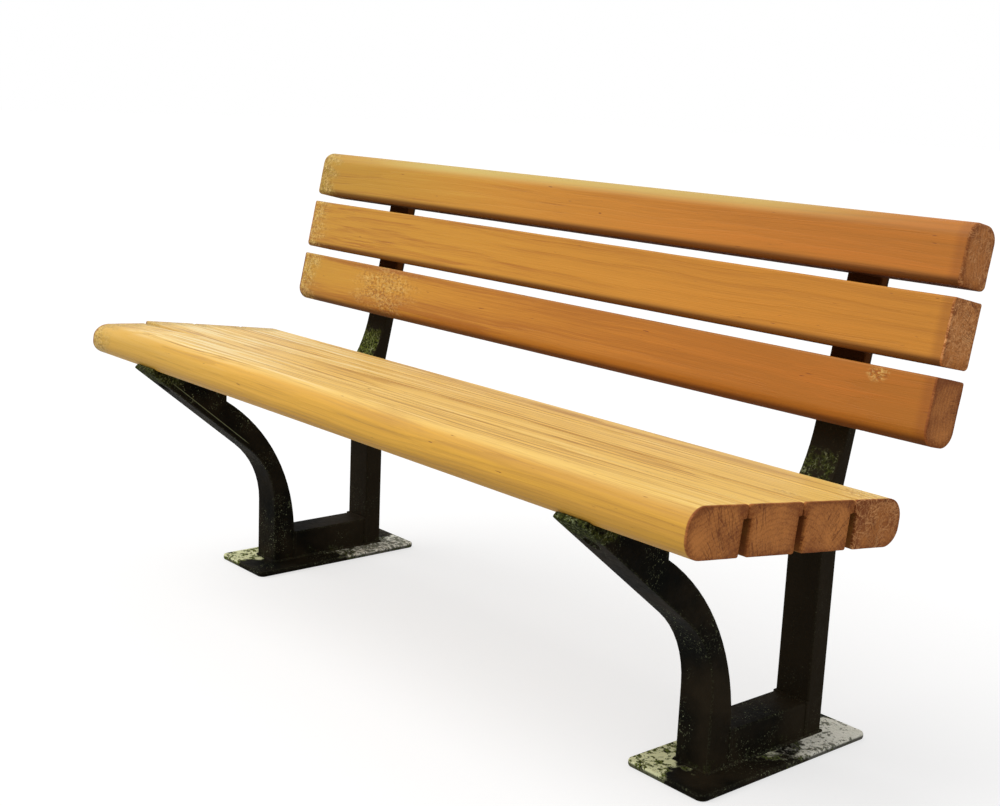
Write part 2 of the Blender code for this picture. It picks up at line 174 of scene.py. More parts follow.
# Depths of the finishes' relief
TIMBER_RELIEF = 0.0008
FRAME_RELIEF = 0.0012
PLATE_RELIEF = 0.0015
ZINC_RELIEF = 0.0004

# How far the front plank's worn left end reaches along and across the plank
WORN_LENGTH = 0.20
WORN_WIDTH = 0.17

# Stretch of the noise that hollows the boards' faces and of the noise that bites into their arrises
HOLLOW_STRETCH = Vector((2.5, 60, 60))
BITE_STRETCH = Vector((14, 20, 20))

# Ripples of the weld beads: their depth as a share of the bead's radius, and how close they lie
RIPPLE_DEPTH = 0.3
RIPPLE_STRETCH = 0.8

# Mesh fineness
NOSE_STEPS = 12
ARRIS_STEPS = 3
CUT_LENGTH = 0.020
CROSS_CUTS = 7
BEAD_CUTS = 24
SHARP_ANGLE = math.radians(30)
CREASE_ANGLE = math.radians(40)
FLAT_ANGLE = math.radians(0.5)
MERGE_DISTANCE = 1e-5

# Attribute that marks the bars' rounded edges, and the slopes between which a face counts as one
ARRIS = "arris"
ARRIS_SLOPES = (0.1, 0.98)

# Height above the plates up to which the bars count as the foot of a frame
FOOT_HEIGHT = 0.010


def display(red, green, blue):
    """Linear colour of a display colour whose channels go up to 255."""
    channels = []
    for channel in (red, green, blue):
        share = channel / 255
        channels.append(share / 12.92 if share <= 0.04045 else ((share + 0.055) / 1.055) ** 2.4)
    return (*channels, 1.0)


def colour(label, description, red, green, blue):
    """Colour property with a display colour as its default."""
    return FloatVectorProperty(name=label, description=description, subtype="COLOR", size=4, min=0, max=1,
                               default=display(red, green, blue))


def length(label, description, default):
    """Length property in metres."""
    return FloatProperty(name=label, description=description, default=default, min=0, unit="LENGTH")


class BenchTimberSettings(bpy.types.PropertyGroup):
    """Sizes and colours of the planks and slats."""

    seat_nose: length("Seat Nose", "Radius of the seat's rounded front and rear edges", 0.028)
    slat_nose: length("Slat Nose", "Radius of the back's rounded bottom and top edges", 0.024)
    lip: length("Lip", "Depth of the planks' upper edges, where they lie close together", 0.018)
    set_back: length("Set Back", "Distance that a plank's edge is set back below its lip", 0.006)
    arris: length("Arris", "Rounding of the timbers' square edges", 0.003)
    slat_lower: length("Slat Lower Edge", "Rounding of the upper slats' lower edges", 0.008)
    slat_end: length("Slat End", "Rounding of the slats' end edges", 0.005)
    wear: length("Wear", "Most that the arrises are worn away", 0.0012)
    hollow: length("Hollow", "Most that the faces dip between raised fibres", 0.0004)
    corner: length("Worn End", "Most that the front plank's left end is worn down", 0.012)
    ring: length("Ring Spacing", "Distance between growth rings", 0.0065)
    seat_pale: colour("Seat Pale", "Sun-bleached streaks of the seat", 255, 240, 190)
    seat_gold: colour("Seat Gold", "Main colour of the seat", 246, 206, 116)
    seat_dark: colour("Seat Dark", "Dark grain lines of the seat", 186, 132, 60)
    seat_warm: colour("Seat Warm", "Ochre of the seat's rounded edges", 236, 176, 58)
    back_pale: colour("Back Pale", "Pale streaks of the back", 224, 176, 76)
    back_gold: colour("Back Gold", "Main colour of the back", 212, 154, 56)
    back_dark: colour("Back Dark", "Dark grain lines of the back", 176, 110, 38)
    back_warm: colour("Back Warm", "Redder colour at the back's right end", 208, 122, 47)
    end_pale: colour("End Pale", "Early wood of the end grain", 214, 138, 72)
    # End Dark is also the colour of the painted shade at the slats' right ends
    end_dark: colour("End Dark", "Late wood and checks of the end grain, and dark flecks", 136, 74, 34)
    torn: colour("Torn Fibre", "Pale torn fibres on the end grain", 248, 180, 116)
    # Painted shadow in the gaps between the seat's planks
    seam: colour("Seam", "Grime on the faces between the seat's planks", 112, 46, 24)
    # Painted shadow along the back slats' lower edges
    under: colour("Under", "Grime under the back's slats", 84, 46, 18)
    # Painted highlight on the top slat's upper edge
    crown_highlight: colour("Algae", "Pale green film on the back's top edge", 206, 186, 104)
    fray: colour("Fray", "Pale fibres where the timber is scuffed or frayed", 240, 204, 122)
    olive: colour("Olive", "Green tinge at the timbers' left ends", 158, 136, 46)


class BenchMetalSettings(bpy.types.PropertyGroup):
    """Sizes and colours of the end frames, base plates and fixings."""

    bead: length("Weld Bead", "Radius of the weld round the foot of an end frame", 0.004)
    paint: colour("Paint", "Black paint, and the depths of the moss", 9, 9, 6)
    faded: colour("Faded Paint", "Paint gone brown in the weather, and dark zinc", 44, 37, 26)
    # Brown given to the posts' fronts between the slats
    slot_brown: colour("Stain", "Timber stain on the posts behind the slats", 92, 50, 15)
    # Scuff is also the colour of the painted highlight on the bars' rounded edges
    scuff: colour("Scuff", "Scratches in the paint, tips of the moss and mottled lichen", 160, 168, 130)
    moss: colour("Moss", "Moss in sheltered places", 78, 84, 38)
    sprout: colour("Sprout", "Young moss on the posts and at the fronts of the plates", 150, 166, 66)
    lichen: colour("Lichen", "Pale growth on the base plates", 255, 253, 240)
    young: colour("Young Lichen", "Greener growth on the plates' fronts and the posts", 236, 238, 190)
    zinc: colour("Zinc", "Dull zinc plate", 150, 150, 148)
    rust: colour("Rust", "Rust on the fixings", 112, 62, 34)


class BenchStageSettings(bpy.types.PropertyGroup):
    """Floor and light."""

    floor: FloatProperty(name="Floor", description="Share of light that the floor throws back",
                         default=0.4, min=0, max=1, subtype="FACTOR")
    sky: FloatProperty(name="Sky", description="Strength of the even light", default=0.6, min=0)
    lamp: FloatProperty(name="Lamp", description="Strength of the soft lamp", default=1.75, min=0)
    softness: FloatProperty(name="Softness", description="Angle that the lamp fills",
                            default=math.radians(50), min=0, subtype="ANGLE")


class Shade:
    """A shader socket that takes part in sums; vectors and colours use Vector Math, numbers use Math."""

    def __init__(self, tree, socket):
        self.tree = tree
        self.socket = socket

    def node(self, kind, inputs, output=0, **settings):
        """Adds a node: its settings first, then the values or links of its sockets; gives one output."""
        node = self.tree.nodes.new(kind)
        for name, value in settings.items():
            setattr(node, name, value)
        for key, value in inputs.items():
            if isinstance(value, Shade):
                self.tree.links.new(value.socket, node.inputs[key])
            else:
                node.inputs[key].default_value = value
        return Shade(self.tree, node.outputs[output])

    def is_vector(self):
        """Whether the socket holds three numbers."""
        return self.socket.type in ("VECTOR", "RGBA")

    def combine(self, operation, first, second):
        """Math or Vector Math of two values, one of them this socket."""
        vectors = [isinstance(value, (tuple, Vector)) or isinstance(value, Shade) and value.is_vector()
                   for value in (first, second)]
        if not any(vectors):
            return self.node("ShaderNodeMath", {0: first, 1: second}, operation=operation)
        first, second = (value if isinstance(value, (tuple, Vector, Shade)) else (value,) * 3
                         for value in (first, second))
        return self.node("ShaderNodeVectorMath", {0: first, 1: second}, operation=operation)

    def __add__(self, other):
        return self.combine("ADD", self, other)

    __radd__ = __add__

    def __sub__(self, other):
        return self.combine("SUBTRACT", self, other)

    def __rsub__(self, other):
        return self.combine("SUBTRACT", other, self)

    def __mul__(self, other):
        return self.combine("MULTIPLY", self, other)

    __rmul__ = __mul__

    def __truediv__(self, other):
        return self.combine("DIVIDE", self, other)

    def __abs__(self):
        return self.node("ShaderNodeMath", {0: self}, operation="ABSOLUTE")

    def split(self):
        """The vector's three numbers."""
        parts = self.node("ShaderNodeSeparateXYZ", {0: self}).socket.node.outputs
        return [Shade(self.tree, part) for part in parts]

    def between(self, low, high):
        """0 below low and 1 above high, with a soft step between them."""
        return self.node("ShaderNodeMapRange", {"Value": self, "From Min": low, "From Max": high},
                         interpolation_type="SMOOTHSTEP")

    def near(self, limit, fade):
        """1 close below a limit and beyond it, with a soft step between the fade's two distances."""
        return self.between(limit - fade[0], limit - fade[1])

    def mix(self, low, high):
        """Colour that goes from low to high with this number."""
        return self.node("ShaderNodeMix", {0: self, 6: low, 7: high}, output=2, data_type="RGBA")

    def noise(self, stretch, seed=0.0, detail=3.0, roughness=0.55, output=0, distortion=0.0):
        """Noise over this place, stretched first so that the pattern has the right proportions."""
        place = self * tuple(stretch) + (seed, 1.7 * seed, 2.3 * seed)
        return self.node("ShaderNodeTexNoise", {"Vector": place, "Scale": 1.0, "Detail": detail,
                                                "Roughness": roughness, "Distortion": distortion}, output)

    def line(self, middle, width):
        """1 where this number is close to the middle: a thin line along that level."""
        return 1 - abs(self - middle).between(0.0, width)


class Finish:
    """A material on a Principled shader whose patterns read Object coordinates."""

    def __init__(self, name, gloss=0.5):
        self.material = bpy.data.materials.new(name)
        self.material.use_nodes = True
        self.tree = self.material.node_tree
        self.shader = self.tree.nodes["Principled BSDF"]
        self.shader.inputs["Specular IOR Level"].default_value = gloss
        coordinates = self.tree.nodes.new("ShaderNodeTexCoord")
        self.place = Shade(self.tree, coordinates.outputs["Object"])

    def surface(self, base, rough, height, depth, metallic=None):
        """Joins the patterns to the shader; height is relief of that depth in metres."""
        bump = height.node("ShaderNodeBump", {"Height": height, "Distance": depth, "Strength": 1.0})
        patterns = {"Base Color": base, "Roughness": rough, "Normal": bump, "Metallic": metallic}
        for socket, pattern in patterns.items():
            if pattern:
                self.tree.links.new(pattern.socket, self.shader.inputs[socket])
        return self.material


class Board(NamedTuple):
    """Place of a timber: its middle, its turn (along, across, out) and its size."""

    middle: Vector
    turn: Matrix
    size: Vector


class TimberLook(NamedTuple):
    """Finish of one timber: its colours, and the strength of each effect that differs between boards."""

    # Pale, main and dark grain, the rounded edges or the right end, and the painted shadow
    pale: tuple
    gold: tuple
    dark: tuple
    warm: tuple
    painted_shadow: tuple

    # Contrast of the fibres and of the rings
    streak: float
    ring: float

    # Lightness of the whole board, what its left end gains and what its right end loses
    shade: float
    pallor: float
    fall: float

    # Bleaching of the outer face, and redness towards the right end
    bleach: float
    redden: float

    # Green tinge at the left end, painted highlight on the top edge, and painted shadow on the lower and
    # the upper side
    olive: float
    crown_highlight: float
    low_shadow: float
    high_shadow: float

    # Painted shade at the right end's edge, darkness of the end grain, and the pale scribbles on the end
    # grain
    edge: float
    end: float
    scribble: float

    # Scuffed patches
    scuffs: tuple


def reach(node, direction):
    """Lowest and highest place of a CAD node along a direction."""
    places = [vertex.co.dot(direction) for vertex in frame["nodes"][node].data.vertices]
    return min(places), max(places)


def board_of(node, out):
    """Where a timber lies whose face looks along out."""
    axes = (ALONG, out.cross(ALONG), out)
    turn = Matrix(axes).transposed()
    spans = [reach(node, axis) for axis in axes]
    middle = turn @ Vector([(low + high) / 2 for low, high in spans])
    return Board(middle, turn, Vector([high - low for low, high in spans]))


def timber_finish(name, board, look, settings, pith, seed):
    """Solid timber: rings round a pith, fibres along it, brown end grain, bleached faces, painted shade
    and highlight.
    """
    finish = Finish(name, gloss=0.2)
    half = board.size / 2
    local = finish.place.node("ShaderNodeMapping", {
        "Vector": finish.place, "Location": board.middle, "Rotation": board.turn.to_euler(),
    }, vector_type="TEXTURE")
    along, across, out = local.split()

    # Grain that wanders slowly along the board
    drift = local.noise((1.3, 5, 5), seed, detail=2, output=1) - 0.5
    bent = local + drift * (0.0, 0.03, 0.03)
    from_pith = bent * (0.0, 1.0, 1.0) - Vector((0, *pith))
    radius = from_pith.node("ShaderNodeVectorMath", {0: from_pith}, output="Value", operation="LENGTH")
    band = bent.noise((0.8, 16, 16), seed + 3, detail=2)
    streak = bent.noise((1.5, 120, 120), seed + 7, detail=6, roughness=0.7)
    fibre = bent.noise((11, 850, 850), seed + 11, detail=2)
    count = radius / settings.ring + (band - 0.5) * 3 + (streak - 0.5) * 1.2
    phase = count.node("ShaderNodeMath", {0: count}, operation="FRACT")
    late = phase.between(0.35, 0.88) * (1 - phase.between(0.92, 1.0))
    fleck = bent.noise((38, 360, 360), seed + 17, detail=1).between(0.75, 0.82)

    # Faces: bleached outside, smoother on the rounded edges, paler at the left end, redder at the right
    face = out.near(half.z, FACE_FADE)
    figure = (band - 0.5) * 0.8 + (streak - 0.5) * look.streak + (fibre - 0.5) * 0.4 - late * look.ring
    left = (0 - along).between(0.1, half.x)
    right = along.between(-half.x, half.x)
    contrast = (0.5 + face * 0.5) * (1.3 - right * 0.6)
    tone = 0.55 + look.shade + figure * contrast + left * look.pallor - right * look.fall
    grain = tone.between(0.5, 0.95).mix(tone.between(0.05, 0.5).mix(look.dark, look.gold), look.pale)
    warm = tone.between(0.1, 0.7).mix(look.dark, look.warm)
    bleached = face * look.bleach
    body = (bleached + (1 - bleached) * (1 - right * look.redden) * (1 - look.bleach)).mix(warm, grain)

    # Painted highlight on the top edge, painted shade at the right end, and painted shadow between the
    # timbers and under the slats
    # Painted highlight: pale band along the top slat's upper edge, fading towards the ends
    crown = across.near(half.y, CROWN_FADE) * (half.x - abs(along)).between(0.03, 0.4)
    tinged = (left * (band + 0.5) * look.olive * (1 - bleached)).mix(body, settings.olive)
    highlighted = (crown * (band + 0.2) * look.crown_highlight).mix(fleck.mix(tinged, settings.end_dark), settings.crown_highlight)
    # Painted shade: darker band before the slats' right ends
    edge = along.near(half.x, END_SHADE_FADE) * look.edge
    # Painted shadow on the sides in the gaps and on the slats' lower edges, weaker near the seat's top
    # where light reaches into the gaps
    below_lip = 1 - out.near(half.z, (settings.lip, 0.2 * settings.lip)) * look.bleach
    seam_fade = (SEAM_REACH, settings.set_back - SEAM_OVERLAP)
    low_side = (0 - across).near(half.y, seam_fade) * look.low_shadow
    high_side = across.near(half.y, seam_fade) * look.high_shadow
    painted_shadow = (low_side + high_side) * below_lip * (0.9 + (band - 0.5) * 0.5)
    sides = painted_shadow.mix(edge.mix(highlighted, settings.end_dark), look.painted_shadow)

    # Curly fibres at the left end and in scuffed patches, dark between them
    ragged = local.noise((18, 60, 60), seed + 31, detail=4)
    tattered = ((0 - along) + (ragged - 0.5) * 0.12).near(half.x, FRAY_FADE)
    worn = tattered
    for scuff_along, scuff_across, size in look.scuffs:
        away = (local - (scuff_along, scuff_across, 0.0)) * (1 / size, 1.6 / size, 0.0)
        distance = away.node("ShaderNodeVectorMath", {0: away}, output="Value", operation="LENGTH")
        worn = worn + (1 - (distance + (ragged - 0.5) * 2).between(0.2, 1.0)) * face
    curl = local.noise((55, 110, 110), seed + 29, detail=3, distortion=1.0).line(0.5, 0.05)
    scrawl = local.noise((62, 46, 62), seed + 47, detail=2, distortion=1.2).line(0.5, 0.055)
    speckle = local.noise((150, 230, 230), seed + 43, detail=2)
    light = (curl * 0.4 + speckle.between(0.52, 0.62) * 0.3) * worn + scrawl * tattered * 0.6
    dark = (1 - speckle.between(0.38, 0.52)) * worn * 0.55
    green = (tattered * look.olive * 2).mix(sides, settings.olive)
    frayed = light.mix(dark.mix(green, settings.end_dark), settings.fray)

    # End grain: faint rings, pores, checks that run out from the pith, a dark rim and pale scribbles
    _, pith_across, pith_out = from_pith.split()
    angle = from_pith.node("ShaderNodeMath", {0: pith_out, 1: pith_across}, operation="ARCTAN2")
    fan = angle.node("ShaderNodeCombineXYZ", {0: angle * 22, 1: radius * 12, 2: seed})
    check = fan.noise((1, 1, 1), detail=2).line(0.5, 0.02) * band.between(0.5, 0.62)
    pore = local.noise((60, 420, 420), seed + 23, detail=3)
    patch = local.noise((10, 28, 28), seed + 37, detail=3)
    rim = (half.y - abs(across)) * (half.z - abs(out))
    end_tone = 0.35 + look.end + late * 0.12 + (pore - 0.5) * 0.9 + (patch - 0.5) * 1.2 + check * 0.4
    end_grain = (end_tone + (1 - rim.between(0.00002, 0.0003)) * 0.3).between(0.0, 1.0)
    ends = abs(along).near(half.x, END_FADE)
    scribble = (scrawl + curl) * 0.6 * patch.between(0.32, 0.5) * look.scribble
    end_colour = scribble.mix(end_grain.mix(settings.end_pale, settings.end_dark), settings.torn)
    base = ends.mix(frayed, end_colour)

    rough = 0.52 + (streak - 0.5) * 0.35 + ends * 0.25 + painted_shadow * 0.35
    grooves = late * 0.15 + fleck * 0.3 + check * ends * 0.8
    height = streak * 0.5 + fibre * 0.35 - grooves + curl * worn * 0.5
    return finish.surface(base, rough, height, TIMBER_RELIEF)


def paint_base(finish, colours):
    """Weathered black paint with a painted highlight on its arrises: gives its colour, roughness and
    relief without moss.
    """
    cast = finish.place.noise((110, 110, 110), 1.0, detail=4)
    cloud = finish.place.noise((9, 9, 9), 2.0, detail=4)
    grit = finish.place.noise((330, 330, 330), 3.0, detail=2)
    scuffed = finish.place.noise((12, 12, 12), 4.0, detail=3).between(0.42, 0.62)
    speck = grit.between(0.66, 0.72) * scuffed
    thread = finish.place.noise((70, 70, 70), 5.0, detail=4, distortion=0.8).line(0.5, 0.02)
    curl = thread * grit.between(0.42, 0.6)
    arris = finish.place.node("ShaderNodeAttribute", {}, output="Fac", attribute_name=ARRIS)
    # Painted highlight: pale specks along the bars' rounded edges
    painted_edge_highlight = arris * grit.between(0.35, 0.65)
    # Pale marks: scratches and specks in the paint, and the painted highlight on the edges
    worn = (speck * 0.7 + curl * scuffed * 0.5 + painted_edge_highlight * 0.15).between(0.0, 1.0)
    base = worn.mix(cloud.between(0.35, 0.7).mix(colours.paint, colours.faded), colours.scuff)
    rough = 0.68 + (cast - 0.5) * 0.3
    height = cast * 0.6 + grit * 0.2 - worn * 0.3
    return base, rough, height


def moss_colour(place, colours):
    """Moss, dark in its depths and green on top with pale curled tips: its colour and its leaves."""
    leaf = place.noise((240, 240, 240), 9.0, detail=4, roughness=0.7)
    curl = place.noise((90, 90, 90), 10.0, detail=5, distortion=0.6).line(0.5, 0.04)
    tip = curl * leaf.between(0.42, 0.62)
    green = leaf.between(0.35, 0.65).mix(colours.paint, colours.moss)
    return (tip * 0.7).mix(green, colours.scuff), leaf


def scratch_mask(deep, high):
    """1 along the long scratch, tapering at both ends."""
    start, stop = SCRATCH
    run = (stop - start).normalized()
    beside = high * run.y - deep * run.z
    onward = deep * run.y + high * run.z
    first = start.dot(run)
    last = stop.dot(run)
    ends = onward.between(first, first + SCRATCH_TAPER) * (1 - onward.between(last - SCRATCH_TAPER, last))
    return beside.line(start.z * run.y - start.y * run.z, SCRATCH_WIDTH) * ends


def frame_finish(colours):
    """Paint of the end frames: brown on the rear legs and on the posts behind the slats, mossy in the
    wet.
    """
    finish = Finish(FRAME_PAINT, gloss=0.03)
    base, rough, height = paint_base(finish, colours)
    wide, deep, high = finish.place.split()
    seat_low, seat_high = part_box("seat_plank_rear")
    front_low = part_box("seat_plank_front")[0]
    slat_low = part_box("back_slat_bottom")[0]

    # Where a place is: on the right frame, on the rear legs, on the right sides of either frame's bars
    right = wide.between(0.0, 0.1)
    rear = deep.between(*REAR_LEGS)
    left_side, right_side = (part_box("rear_post_" + side)[1].x for side in SIDES)
    inner = wide.near(left_side, BAR_SIDE_FADE) * (1 - right)
    outer = wide.near(right_side, BAR_SIDE_FADE)

    # Brown on the posts' fronts between the slats, brown rear legs and a scratch on a front leg
    front = reach("back_slat_middle", BACK_OUT)[0]
    facing = deep * BACK_OUT.y + high * BACK_OUT.z
    behind = high.between(slat_low.z + 0.03, slat_low.z + 0.06) * facing.near(front, SLOT_BROWN_FADE)
    brown = (behind * 0.9).mix((rear * 0.75).mix(base, colours.faded), colours.slot_brown)
    marked = (scratch_mask(deep, high) * inner * 0.8).mix(brown, colours.scuff)

    # Moss on the posts above the seat, on the front legs' heads and over the feet
    clump = finish.place.noise((45, 45, 60), 8.0, detail=4, roughness=0.65)
    level = high + (clump - 0.5) * 0.2
    below_slats = 1 - level.between(slat_low.z, slat_low.z + 0.04)
    post = rear * level.between(seat_low.z - 0.08, seat_low.z + 0.06) * below_slats
    open_post = high.between(seat_high.z - 0.02, slat_low.z)
    thinning = (1 - open_post * 0.8) * (1 - (inner + outer) * 0.75) * (1 - right * 0.3)
    tip = high.between(front_low.z - 0.05, front_low.z) * (1 - deep.between(*LEG_TIPS))
    foot = 1 - high.between(0.012, 0.07)
    place = (post * thinning * 1.2 + tip * 1.2 + foot * 0.6).between(0.0, 1.2)
    growth = (place + (clump - 0.5) * 2.2 - 0.5).between(0.0, 0.5) * place * 0.9

    # Young moss on the posts just above the seat, with pale strands in it
    moss, leaf = moss_colour(finish.place, colours)
    young = post * (1 - high.between(seat_high.z - 0.01, slat_low.z)) * (0.3 - right * 0.25)
    sprouting = (young * leaf.between(0.38, 0.6)).mix(moss, colours.sprout)
    strand = finish.place.noise((38, 38, 38), 14.0, detail=2, distortion=1.2).line(0.5, 0.02)
    mossy = (strand * leaf.between(0.4, 0.55) * post * 0.35).mix(sprouting, colours.young)
    base = growth.mix(marked, mossy)
    return finish.surface(base, rough + growth * 0.2, height + growth * leaf, FRAME_RELIEF)


def frame_paint(colours):
    """The end frames' paint, made once and shared by their bars and welds."""
    return bpy.data.materials.get(FRAME_PAINT) or frame_finish(colours)


def plate_finish(name, node, colours, front_moss, rear_moss):
    """Paint of one base plate, with pale lichen and tufts of moss over two opposite corners."""
    finish = Finish(name, gloss=0.03)
    base, rough, height = paint_base(finish, colours)
    low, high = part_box(node)
    centred = (finish.place - (low + high) / 2) * (2 / (high.x - low.x), 2 / (high.y - low.y), 0.0)
    across, deep, _ = centred.split()
    _, _, rise = finish.place.split()
    top = 0.15 + rise.near(high.z, PLATE_TOP_FADE) * 0.85
    cloud = finish.place.noise((30, 30, 30), 11.0, detail=4, roughness=0.65)
    clump = finish.place.noise((70, 70, 70), 13.0, detail=4, roughness=0.6)
    grain = finish.place.noise((190, 190, 190), 12.0, detail=3)
    spread = (across * deep + (cloud - 0.5) * 1.2).between(0.0, 0.2)
    lichen = spread * top
    rear = deep.between(-0.3, 0.3)
    cover = front_moss + rear * (rear_moss - front_moss)
    tuft = ((clump + grain) * 0.5 + cover).between(0.98, 1.06) * spread
    fringe = spread.line(0.45, 0.5) * clump.between(0.40, 0.52)
    moss, leaf = moss_colour(finish.place, colours)
    fresh = ((1 - rear) * leaf.between(0.4, 0.6) * 0.35).mix(moss, colours.sprout)
    mottle = (cloud * 0.4 + leaf * 0.6).between(0.44, 0.68) * 0.45
    pale = mottle.mix(rear.mix(colours.young, colours.lichen), colours.scuff)
    green = (fringe + tuft * (0.95 - rear * 0.25)).between(0.0, 1.0)
    base = green.mix(lichen.mix(base, pale), fresh)
    relief = height + lichen * 0.6 + green * leaf
    return finish.surface(base, rough + lichen * 0.2, relief, PLATE_RELIEF)


def zinc_finish(colours):
    """Dull zinc plate with rust in spots."""
    finish = Finish("fixing_zinc_plate")
    spangle = finish.place.noise((260, 260, 260), 21.0, detail=2)
    rust = finish.place.noise((120, 120, 120), 22.0, detail=5, roughness=0.7).between(0.52, 0.66)
    base = rust.mix(spangle.between(0.3, 0.7).mix(colours.faded, colours.zinc), colours.rust)
    rough = 0.38 + (spangle - 0.5) * 0.3 + rust * 0.4
    return finish.surface(base, rough, spangle * 0.3 + rust, ZINC_RELIEF, metallic=1 - rust)


def add_piece(name, mesh, finish, slot, *nodes):
    """Makes a piece from a bmesh that is in place; it stands for its CAD nodes and rides on the bench."""
    data = bpy.data.meshes.new(name)
    mesh.to_mesh(data)
    mesh.free()
    data.materials.append(finish)
    data.shade_smooth()
    data.set_sharp_from_angle(angle=CREASE_ANGLE)
    piece = bpy.data.objects.new(name, data)
    bpy.context.scene.collection.objects.link(piece)
    normals = piece.modifiers.new("face_weighted", "WEIGHTED_NORMAL")
    normals.keep_sharp = True
    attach(piece, BODY)
    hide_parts(*nodes)
    return piece


def mark_arrises(mesh, axis):
    """Marks the rounded edges beside the flat sides that look along the axis, where a highlight is
    painted.
    """
    layer = mesh.faces.layers.float.new(ARRIS)
    for face in mesh.faces:
        face[layer] = float(ARRIS_SLOPES[0] < abs(face.normal.dot(axis)) < ARRIS_SLOPES[1])


def bevel(mesh, edges, size, steps):
    """Rounds edges."""
    bmesh.ops.bevel(mesh, geom=edges, offset=size, offset_type="OFFSET", segments=steps, profile=0.5,
                    affect="EDGES", material=-1, clamp_overlap=True)


def sharp_edges(mesh):
    """Outer edges where two faces meet at more than the sharp angle."""
    return [edge for edge in mesh.edges if edge.is_convex and edge.calc_face_angle(0) > SHARP_ANGLE]


def lengthwise(mesh, longer_than):
    """Edges that run along the bench."""
    return [edge for edge in mesh.edges if abs(edge.verts[0].co.x - edge.verts[1].co.x) > longer_than]


def timber_blank(board, rounding, end_radius, settings, lipped):
    """Board about its middle, its sides (-1 or 1 across) rounded as given or set back below a lip."""
    half = board.size / 2
    lip = half.z - settings.lip
    inner = half.y - settings.set_back
    mesh = bmesh.new()
    section = []
    for side in (1, -1):
        edge = [(half.y, -half.z), (half.y, half.z)]
        if lipped and side not in rounding:
            edge = [(inner, -half.z), (inner, lip), (half.y, lip), (half.y, half.z)]
        section += [(side * across, out) for across, out in edge][::side]
    face = mesh.faces.new([mesh.verts.new((-half.x, across, out)) for across, out in section])
    swept = bmesh.ops.extrude_face_region(mesh, geom=[face])["geom"]
    far_end = [item for item in swept if isinstance(item, bmesh.types.BMVert)]
    bmesh.ops.translate(mesh, vec=(board.size.x, 0, 0), verts=far_end)
    bmesh.ops.recalc_face_normals(mesh, faces=mesh.faces)
    for side, radius in rounding.items():
        edges = [edge for edge in lengthwise(mesh, half.x) if edge.verts[0].co.y * side > inner]
        bevel(mesh, edges, radius, NOSE_STEPS)
    arrises = [edge for edge in sharp_edges(mesh) if edge in lengthwise(mesh, half.x)]
    bevel(mesh, arrises, settings.arris, ARRIS_STEPS)
    bevel(mesh, sharp_edges(mesh), end_radius, ARRIS_STEPS)
    return mesh


def add_timber(node, board, mesh, settings, finish, slot, seed, worn_end=0.0):
    """A board with worn arrises, slightly hollow faces and perhaps a worn left end, from its blank."""
    half = board.size / 2
    bmesh.ops.subdivide_edges(mesh, edges=lengthwise(mesh, half.x), cuts=int(board.size.x / CUT_LENGTH),
                              use_grid_fill=True)
    crosswise = [edge for edge in mesh.edges if edge.calc_length() > CUT_LENGTH * 1.2]
    bmesh.ops.subdivide_edges(mesh, edges=crosswise, cuts=CROSS_CUTS, use_grid_fill=True)
    mesh.normal_update()
    shift = Vector((seed, seed * 1.3, seed * 1.9))
    for vertex in mesh.verts:
        place = vertex.co
        ripple = noise.noise(place * HOLLOW_STRETCH + shift)
        bite = max(0.0, noise.noise(place * BITE_STRETCH + shift))
        corner = (half.y - abs(place.y)) + (half.z - abs(place.z))
        worn = max(0.0, 1 - corner / (2 * settings.arris))
        depth = settings.hollow * (0.5 + 0.5 * ripple) + settings.wear * bite * worn
        vertex.co = place - vertex.normal * depth
        from_end = math.hypot((place.x + half.x) / WORN_LENGTH, (place.y + half.y) / WORN_WIDTH)
        vertex.co.z -= worn_end * max(0.0, 1 - from_end) * (place.z / half.z + 1) / 2
    put = Matrix.Translation(board.middle) @ board.turn.to_4x4()
    bmesh.ops.transform(mesh, matrix=put, verts=mesh.verts)
    return add_piece("timber_" + node, mesh, finish, slot, node)


class BENCH_OT_seat_planks(bpy.types.Operator):
    """Builds the seat's planks, bleached on top and rounded at the front and rear"""

    bl_idname = "bench.seat_planks"
    bl_label = "Seat Planks"

    def execute(self, context):
        settings = context.scene.bench_timber
        for index, node in enumerate(PLANKS):
            first = index == 0
            last = index == len(PLANKS) - 1
            rounding = {}
            if first:
                rounding[-1] = settings.seat_nose
            if last:
                rounding[1] = settings.seat_nose
            look = TimberLook(
                settings.seat_pale, settings.seat_gold, settings.seat_dark, settings.seat_warm,
                settings.seam, streak=2.2, ring=0.18, shade=0.03, pallor=0.12, fall=0.12, bleach=0.85,
                redden=0.3, olive=0.2, crown_highlight=0.0, low_shadow=0.0 if first else 0.95,
                high_shadow=0.0 if last else 0.95, edge=0.0, end=0.24 if last else 0.02,
                scribble=0.65 if last else 0.06, scuffs=SCUFFS.get(node, ()))
            board = board_of(node, SEAT_UP)
            seed = SEAT_SEED + SEED_STEP * index
            finish = timber_finish("timber_" + node, board, look, settings, PITHS[node], seed)
            blank = timber_blank(board, rounding, settings.arris, settings, lipped=True)
            worn_end = settings.corner if first else 0.0
            add_timber(node, board, blank, settings, finish, SEAT_SLOT, SEAT_WEAR_SEED + index, worn_end)
        return {"FINISHED"}


